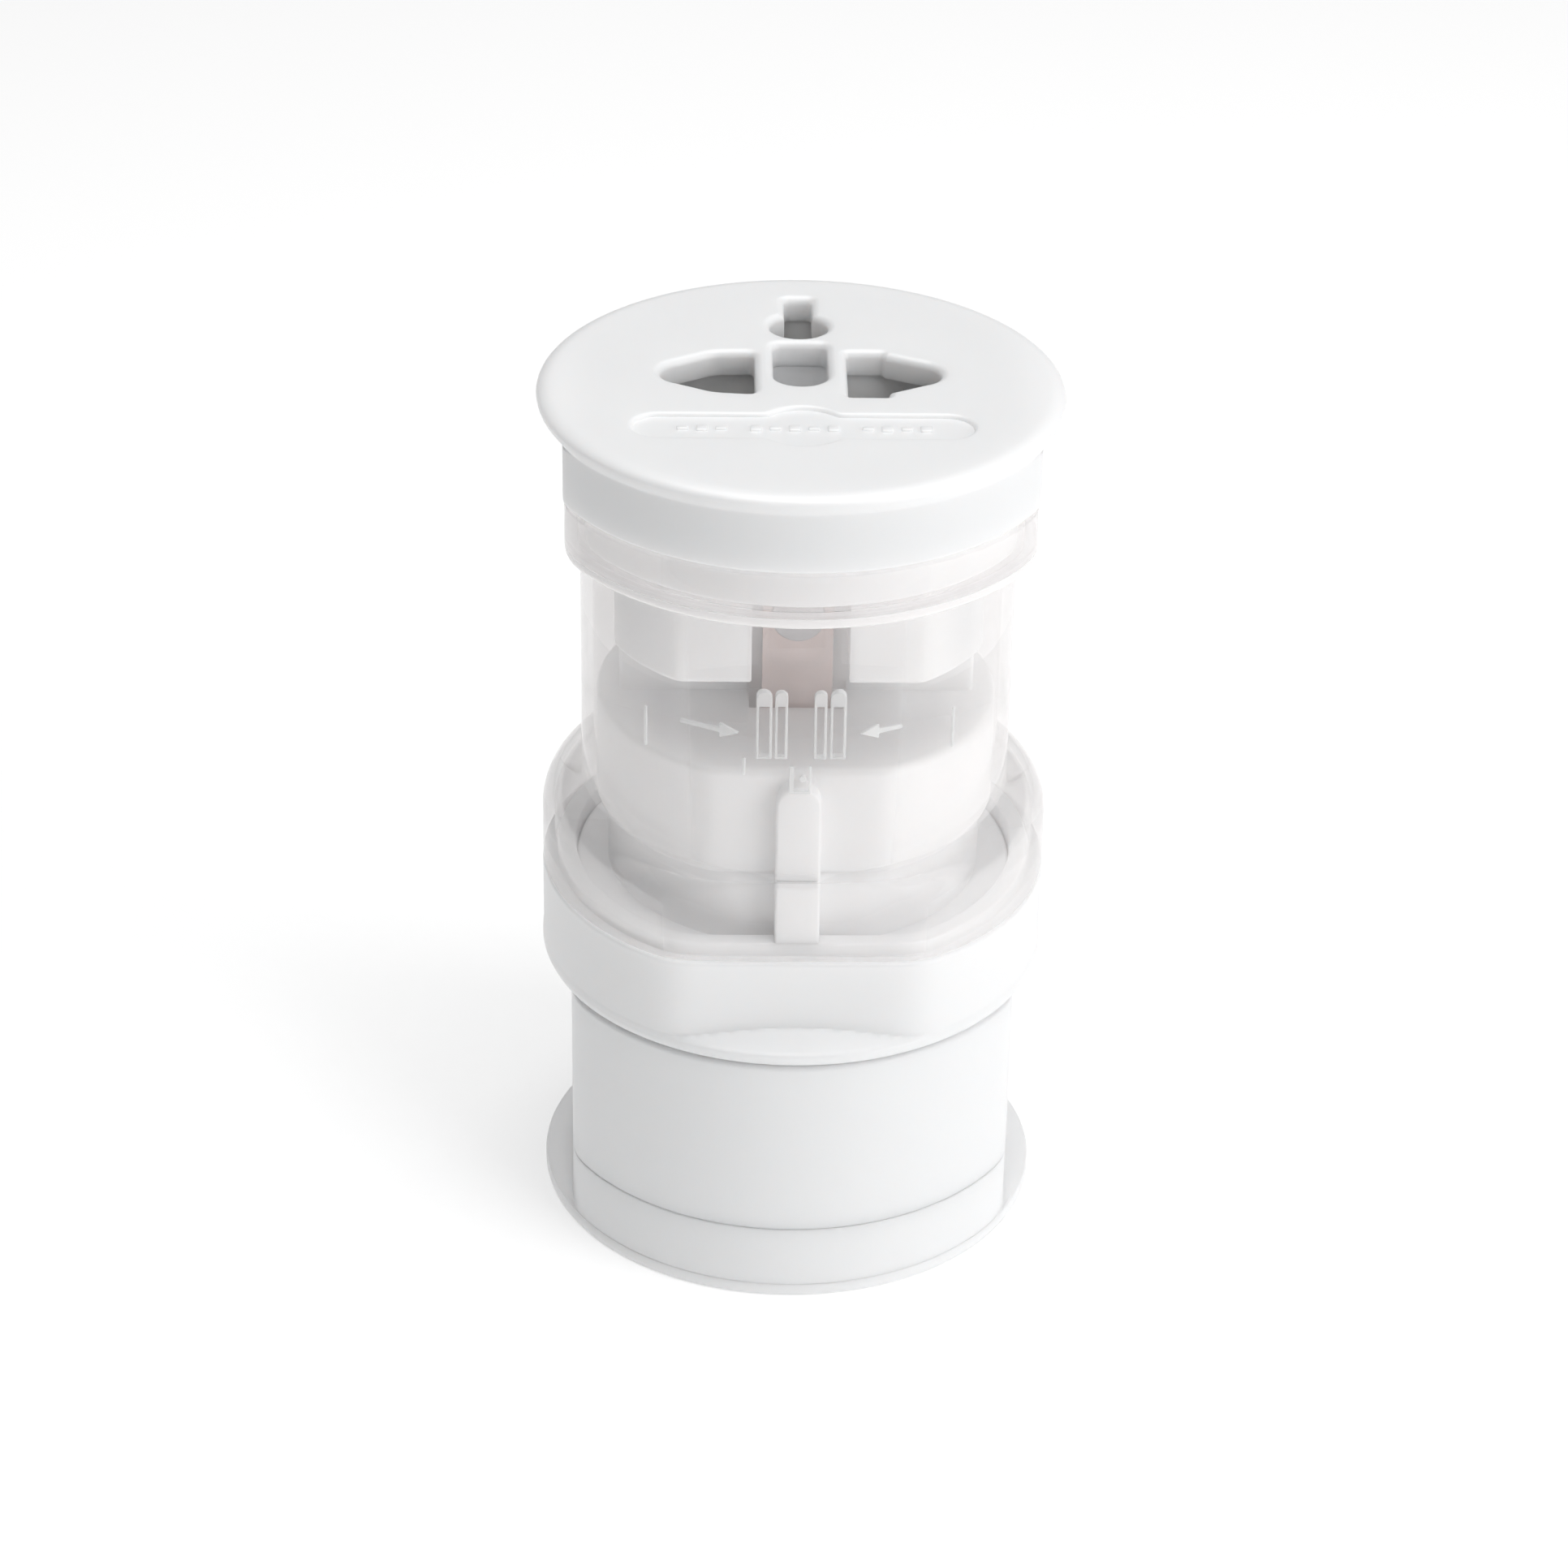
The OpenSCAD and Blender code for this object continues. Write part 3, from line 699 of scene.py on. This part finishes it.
def top_cover():
    """The socket face with its openings and panel, the rounded flange and the skirt under it."""
    neck = FLANGE_R - WALL
    inner_flat = HEAD_FLAT - WALL
    skirt_r = BODY_R - 0.2
    crisp = 160           # how sharply the skirt's flats meet its round wall
    rings = [ring_points(z, neck, inner_flat, soft=crisp) for z in (Z_FACE, Z_SKIRT + 0.5)]
    rim = [(Z_SKIRT + 0.4, neck, 0), (Z_SKIRT, neck, 0.2), (Z_SKIRT, skirt_r, 0.35),
           (Z_FLANGE - 0.3, skirt_r, 0)]
    for z, r in rounded(rim):
        flat = inner_flat + (r - neck) * (HEAD_FLAT - inner_flat) / (skirt_r - neck)
        rings.append(ring_points(z, r, flat, soft=crisp))
    rings.append(ring_points(Z_FLANGE - 0.1, skirt_r + 0.02, HEAD_FLAT + 0.12))
    rings.append(ring_points(Z_FLANGE, skirt_r + 0.05, HEAD_FLAT + 0.4))
    steps = 6
    for i in range(steps + 1):
        a = math.pi / 2 * i / steps
        z = Z_FLANGE + 0.8 * (1 - math.cos(a))
        bead = FLANGE_R - 0.63 + 0.6 * math.sin(a)
        rings.append(ring_points(z, skirt_r + 0.05, HEAD_FLAT + 0.4, inner=bead))
    drop, inset = 0.85, 1.6
    steps = 12
    for i in range(steps + 1):
        a = math.pi / 2 * i / steps
        rings.append(ring_points(Z_TOP - drop + drop * math.sin(a), FLANGE_R - inset + inset * math.cos(a)))
    rings.append(ring_points(Z_TOP, FLANGE_R - 2.4))
    obj = loft("top_cover_shell", rings)
    openings = [contact_opening(1), contact_opening(-1), centre_opening(), earth_opening()]
    cutters = [prism("cut", outline, Z_FACE - 1, Z_TOP, flare_top=0.8) for outline in openings]
    cutters.append(prism("cut", panel_outline(), Z_TOP - 0.42, Z_TOP, flare_top=0.4))
    combine(obj, cutters, "DIFFERENCE")
    return combine(obj, generic_marks(), "UNION")


def contact_carrier():
    """The block behind the socket face, with room for the contacts and two screw holes."""
    plug = FLANGE_R - WALL - 0.1
    flat = HEAD_FLAT - WALL - 0.1
    top = Z_FACE - 0.03
    path = [(Z_NECK, 15, 0), (Z_NECK, plug, 0.5), (top, plug, 0.2), (top, 15, 0)]
    obj = loft("contact_carrier_block", [ring_points(z, r, flat - (plug - r)) for z, r in rounded(path)])
    through = (Z_NECK - 1, Z_FACE + 1)
    screw_x, screw_y = HEAD_SCREW
    cutters = [contact_pocket(side, *through) for side in (-1, 1)]
    cutters += [disc(side * screw_x, screw_y, SCREW_R, *through) for side in (-1, 1)]
    cutters.append(prism("cut", centre_opening(), *through))
    earth = rectangle(-EARTH_R, EARTH_R, 10.3, 19.7)
    cutters.append(prism("cut", earth, Z_NECK + 1.5, Z_FACE + 1))
    return combine(obj, cutters, "DIFFERENCE")


def head_core():
    """The core under the head, notched in front, with wells for the rotors and sunk screw holes."""
    path = [(Z_HEAD_CORE, CORE_R - 2, 0), (Z_HEAD_CORE, CORE_R, 0.7), (Z_NECK, CORE_R, 0)]
    rings = [ring_points(z, r, HEAD_CORE_SIDE - (CORE_R - r), HEAD_CORE_FLAT - (CORE_R - r), soft=110)
             for z, r in rounded(path)]
    obj = loft("head_core_block", rings)
    half = NOTCH_W / 2
    notch = [(-half, NOTCH_Y), (-half, -25), (half, -25), (half, NOTCH_Y)]
    cutters = [prism("cut", notch, Z_HEAD_CORE, Z_NECK, flare_low=0.6)]
    screw_x, screw_y = HEAD_SCREW
    for side in (-1, 1):
        cutters.append(contact_pocket(side, Z_HEAD_CORE + 4.9, Z_NECK + 1))
        cutters.append(disc(side * BLADE_X, LINE_Y, 4.8, Z_HEAD_CORE - 1, Z_HEAD_CORE + 2.4))
        cutters.append(disc(side * BLADE_X, LINE_Y, 2.05, Z_HEAD_CORE, Z_HEAD_CORE + 6))
        cutters.append(disc(side * screw_x, screw_y, SCREW_SINK_R, Z_HEAD_CORE - 1, Z_NECK - 1))
        cutters.append(disc(side * screw_x, screw_y, SCREW_R, Z_HEAD_CORE, Z_NECK + 1))
    cutters.append(prism("cut", centre_opening(), Z_HEAD_CORE + 7.5, Z_NECK + 1))
    strip_foot = rectangle(-3.5, 3.5, NOTCH_Y - 1, NOTCH_Y + 2)
    cutters.append(prism("cut", strip_foot, Z_NECK - 0.7, Z_NECK + 1))
    return combine(obj, cutters, "DIFFERENCE")


def mid_carrier():
    """The block in the ring that holds the pins and contacts, with the narrower foot of the core."""
    inset = CLEAR_WALL + CLEAR_GAP + WALL + 0.1
    plug = BODY_R - inset
    plug_flat = FLAT - inset
    path = [(Z_PLUG, plug, 0), (Z_RING_TOP - 0.1, plug, 0.4), (Z_RING_TOP - 0.1, STEP_R, 0.2)]
    rings = [ring_points(z, r, OPEN, plug_flat - (plug - r) * 0.2) for z, r in rounded(path)]
    rings.append(ring_points(Z_RING_TOP, STEP_R, OPEN, 17.9))
    rings.append(ring_points(Z_CORE_STEP, STEP_R, OPEN, 17.4, soft=90))
    obj = loft("mid_carrier_block", rings)
    rib = rectangle(-RIB_W / 2, RIB_W / 2, -20.4, -17)
    combine(obj, [soften(prism("rib", rib, Z_RING_TOP + 0.1, Z_CORE_STEP), 0.3)], "UNION")
    cutters = []
    for side in (-1, 1):
        cutters.append(leaf_pocket(side, Z_RING_TOP + 5, Z_CORE_STEP + 1))
        cutters.append(disc(side * PIN_X, 0, 3.6, Z_PLUG - 1, Z_PLUG + 1.7))
        cutters.append(disc(side * PIN_X, 0, 1.55, Z_PLUG, Z_RING_TOP + 6))
        cutters.append(disc(0, side * MID_SCREW_Y, SCREW_R, Z_PLUG - 1, Z_PLUG + 9))
    return combine(obj, cutters, "DIFFERENCE")


def mid_core():
    """The lower core, with a rib down its front and the tower that takes the blades."""
    path = [(Z_CORE_STEP, 17, 0), (Z_CORE_STEP, CORE_R, 0.5), (Z_CORE_TOP, CORE_R, 0.8), (Z_CORE_TOP, 16, 0)]
    rings = [ring_points(z, r, OPEN, CORE_FLAT - (CORE_R - r), soft=90) for z, r in rounded(path)]
    obj = loft("mid_core_block", rings)
    half = RIB_W / 2
    rib_top = Z_CORE_TOP - 1 - half
    outline = [(-half, Z_CORE_STEP), (half, Z_CORE_STEP)] + arc(0, rib_top, half, 0, 180, 24)
    rib = facing_front(prism("rib", outline, 17, 19.4))
    beyond = math.degrees(math.asin(-TOWER_Y / TOWER_R))
    tower = prism("tower", arc(0, 0, TOWER_R, -beyond, 180 + beyond, 90), Z_CORE_TOP - 1, Z_TOWER)
    soften(tower, 0.4)
    combine(obj, [soften(rib, 0.3), tower], "UNION")
    cutters = []
    for side in (1, -1):
        cutters.append(leaf_pocket(side, Z_CORE_STEP - 1, Z_CORE_TOP - 2))
        cutters.append(disc(side * BLADE_X, LINE_Y, 3.45, Z_CORE_TOP - 3, Z_TOWER + 1))
    half = NOTCH_W / 2
    recess = [(-half, TOWER_Y), (-half, -5.4), (half, -5.4), (half, TOWER_Y)]
    cutters.append(prism("cut", recess, Z_CORE_TOP - 5, Z_CORE_TOP, flare_top=0.3))
    return combine(obj, cutters, "DIFFERENCE")


def clear_sleeve():
    """The clear body: a wide foot, a rounded shoulder, a narrower tube and an open collar."""
    foot = [(0.0, CLEAR_WALL), (0.0, 0.25), (0.1, 0.06), (0.3, 0.0)]
    rings = [ring_points(Z_SLEEVE + rise, BODY_R - inset, OPEN, FLAT - inset) for rise, inset in foot]
    drop = BODY_R - TUBE_R
    steps = 14
    for i in range(steps + 1):
        a = math.pi / 2 * i / steps
        z = Z_SHOULDER + SHOULDER_RISE * math.sin(a)
        crisp = SOFT + 200 * math.sin(a) ** 4
        rings.append(ring_points(z, TUBE_R + drop * math.cos(a), OPEN, FLAT, soft=crisp))
    rings += [ring_points(z, TUBE_R) for z in (Z_TUBE + 0.4, Z_COLLAR - 0.3)]
    collar_floor = Z_COLLAR + 1.4
    collar = [(Z_COLLAR, TUBE_R + 0.05, 0), (Z_COLLAR, BODY_R, 1.1), (Z_COLLAR_TOP, BODY_R, 0.2),
              (Z_COLLAR_TOP, BODY_R - CLEAR_WALL, 0.2), (collar_floor, BODY_R - CLEAR_WALL, 0.3),
              (collar_floor, TUBE_R - 1.0, 0)]
    for z, r in rounded(collar):
        flat = HEAD_FLAT - (BODY_R - r)
        if r < TUBE_R + 0.5:
            flat = max(flat, TUBE_R - 0.5)
        rings.append(ring_points(z, r, flat))
    rise = SHOULDER_RISE - CLEAR_WALL
    inside = TUBE_R - CLEAR_WALL
    rings += [ring_points(z, inside) for z in (Z_COLLAR + 1.2, Z_SHOULDER + rise + 0.3)]
    steps = 10
    for i in range(steps + 1):
        a = math.pi / 2 * (1 - i / steps)
        r = TUBE_R + (drop - CLEAR_WALL) * math.cos(a)
        rings.append(ring_points(Z_SHOULDER + rise * math.sin(a), r, OPEN, FLAT - CLEAR_WALL))
    return loft("clear_sleeve_shell", rings, closed=True)


def tube_mark(outline, raise_by, turn=0):
    """A raised mark on the front of the clear tube, from an outline in (x, z), turned about Z."""
    mark = facing_front(prism("mark", outline, TUBE_R - 0.6, TUBE_R + raise_by))
    soften(mark, 0.12, 2)
    mark.data.transform(Matrix.Rotation(math.radians(turn), 4, "Z"))
    return mark


def upright(x, width, z0, z1):
    """Outline in (x, z) of an upright bar."""
    return rectangle(x - width / 2, x + width / 2, z0, z1)


def hollowed(mark, outline):
    """A mark with an opening right through it."""
    return combine(mark, [facing_front(prism("cut", outline, TUBE_R - 2, TUBE_R + 2))], "DIFFERENCE")


def bar_frame(x, width, z0, z1):
    """A raised bar with a round top. Its lower part is open, so that only its rim and its cap are solid;
    their pale white is painted highlight for the light on the bar's edges and top.
    """
    half = width / 2
    outline = [(x - half, z0), (x + half, z0)] + arc(x, z1 - half, half, 0, 180, 10)
    return hollowed(tube_mark(outline, 0.5), upright(x, width - 0.5, z0 + 0.25, z1 - 1.5))


def arrow(length, side, z):
    """Outline in (x, z) of an arrow that points to the middle from one side, with a tapering tail."""
    tip, tail = -length / 2, length / 2
    barb = tip + 1.9
    half = [(tip, 0), (barb, 0.8), (barb, 0.25), (tail, 0.2), (tail, -0.15), (barb, -0.3), (barb, -0.8)]
    return [(side * x, z + y) for x, y in half]


def sleeve_marks():
    """The raised marks on the tube: four bars, a lug with a dot, thin lines and two arrows."""
    z0 = Z_TUBE + 12.8
    line_w = 0.3
    bars = ((-3.45, 1.5), (-1.85, 1.2), (1.8, 1.2), (3.45, 1.5))
    marks = [bar_frame(x, width, z0, z0 + 7.1) for x, width in bars]
    # The lug is open in the middle, so that only its rim shows white: painted highlight for the light on the
    # lug's edges.
    lug = tube_mark(upright(0, 2.1, z0 - 3.9, z0 - 0.9), 0.3)
    marks.append(hollowed(lug, upright(0.1, 1.4, z0 - 3.6, z0 - 0.5)))
    marks.append(tube_mark(arc(0.25, z0 - 2.3, 0.35, 0, 345, 23), 0.25))
    marks.append(tube_mark(upright(0, line_w, z0 - 2.3, z0 - 0.4), 0.2, -14.5))
    for side, length, angle in ((-1, 6.0, 24), (1, 4.3, 21)):
        marks.append(tube_mark(upright(0, line_w, z0 - 2, z0 + 2.3), 0.22, side * 43.5))
        marks.append(tube_mark(arrow(length, side, z0 + 2.2), 0.22, side * angle))
    inside = disc(0, 0, TUBE_R + 0.01, Z_TUBE, Z_COLLAR, 240)
    return combine(join(marks), [inside], "DIFFERENCE")


def dress(obj, node, body, slot, mats):
    """Gives a piece its material, body and slot, and lets it stand for its CAD node."""
    obj.data.materials.clear()
    obj.data.materials.append(mats[slot])
    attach(obj, body)
    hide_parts(node)


def build_pieces(mats):
    """Makes every piece: the moulded ones from scratch, the small ones from the CAD with softer edges."""
    shells = [
        (base_plate, "base_plate", "base", "white_abs"),
        (base_cup, "base_cup", "base", "white_abs"),
        (mid_ring, "mid_ring", "eu_module", "white_abs"),
        (mid_carrier, "mid_carrier", "eu_module", "white_abs"),
        (mid_core, "mid_core", "eu_module", "white_abs"),
        (clear_sleeve, "clear_sleeve", "sleeve", "clear_plastic"),
        # The sleeve marks take the pale white that is painted highlight on their edges and caps.
        (sleeve_marks, "sleeve_marks", "sleeve", "frosted_plastic"),
        (top_cover, "top_cover", "head", "white_abs"),
        (contact_carrier, "contact_carrier", "head", "white_abs"),
        (head_core, "head_core", "head", "white_abs"),
    ]
    for make, node, body, slot in shells:
        dress(smooth(make()), node, body, slot, mats)
    softened = [
        ("pin_cradle", "base", "white_insert", 0.4), ("base_screws", "base", "screw_steel", 0.12),
        ("eu_pin_left", "eu_module", "nickel", 0.25), ("eu_pin_right", "eu_module", "nickel", 0.25),
        ("mid_contact_left", "eu_module", "nickel", 0.08),
        ("mid_contact_right", "eu_module", "nickel", 0.08),
        ("mid_screws", "eu_module", "screw_steel", 0.12),
        ("head_contact_left", "head", "nickel", 0.08), ("head_contact_right", "head", "nickel", 0.08),
        ("earth_contact", "head", "nickel", 0.08), ("copper_strip", "head", "copper", 0.1),
        ("strip_rivet", "head", "rivet_steel", 0.15), ("head_screws", "head", "screw_steel", 0.12),
        ("blade_left", "left_blade", "nickel", 0.25), ("blade_right", "right_blade", "nickel", 0.25),
        ("rotor_left", "left_blade", "white_insert", 0.15),
        ("rotor_right", "right_blade", "white_insert", 0.15),
    ]
    for node, body, slot, width in softened:
        dress(softened_copy(node, width), node, body, slot, mats)


# ---------------------------------------------------------------- camera, floor and lights

def camera():
    """A long lens in front of the object and slightly to its left, 30 degrees above it."""
    data = bpy.data.cameras.new("camera")
    data.sensor_width = 36
    data.lens = 101.3
    data.shift_x = -0.0062
    data.shift_y = 0.0015
    data.clip_start = 0.01
    obj = bpy.data.objects.new("camera", data)
    bpy.context.scene.collection.objects.link(obj)
    height = math.radians(30)
    away = 0.4377
    centre = Vector((0, 0, 0.044))
    aside = math.radians(1.6)
    roll = math.radians(1.1)
    level_away = away * math.cos(height)
    offset = (-level_away * math.sin(aside), -level_away * math.cos(aside), away * math.sin(height))
    obj.location = centre + Vector(offset)
    look = (centre - obj.location).to_track_quat("-Z", "Y").to_matrix().to_4x4()
    obj.matrix_world = Matrix.Translation(obj.location) @ look @ Matrix.Rotation(roll, 4, "Z")
    bpy.context.scene.camera = obj


def floor():
    """A wide, pale, faintly glowing floor."""
    mesh = bpy.data.meshes.new("floor")
    reach = 10.0
    corners = [(x, y, 0) for x, y in rectangle(-reach, reach, -reach, reach)]
    mesh.from_pydata(corners, [], [(0, 1, 2, 3)])
    obj = new_object("floor", mesh)
    mat, tree, shader = material("floor", (0.93, 0.93, 0.93), 1.0)
    shader.inputs["Specular IOR Level"].default_value = 0.0
    shader.inputs["Emission Color"].default_value = (1, 1, 1, 1)
    shader.inputs["Emission Strength"].default_value = 0.24
    obj.data.materials.append(mat)


def area_light(name, location, target, size, power):
    data = bpy.data.lights.new(name, "AREA")
    data.shape = "RECTANGLE"
    data.size, data.size_y = size
    data.energy = power
    obj = bpy.data.objects.new(name, data)
    bpy.context.scene.collection.objects.link(obj)
    obj.location = location
    obj.rotation_euler = (Vector(target) - Vector(location)).to_track_quat("-Z", "Y").to_euler()


def lights():
    """A soft key light from the front right, a soft light overhead and a little light all round."""
    world = bpy.data.worlds.new("studio")
    bpy.context.scene.world = world
    world.use_nodes = True
    world.node_tree.nodes["Background"].inputs["Color"].default_value = (1, 1, 1, 1)
    world.node_tree.nodes["Background"].inputs["Strength"].default_value = 0.08
    middle = (0, 0, 0.045)
    area_light("key", (0.755, -0.504, 0.44), middle, (0.8, 0.8), 5.0)
    area_light("overhead", (0.0, 0.0, 1.1), middle, (0.9, 0.9), 9.8)
    bpy.context.scene.view_settings.view_transform = "Standard"


camera()
materials = build_materials()
build_pieces(materials)
floor()
lights()
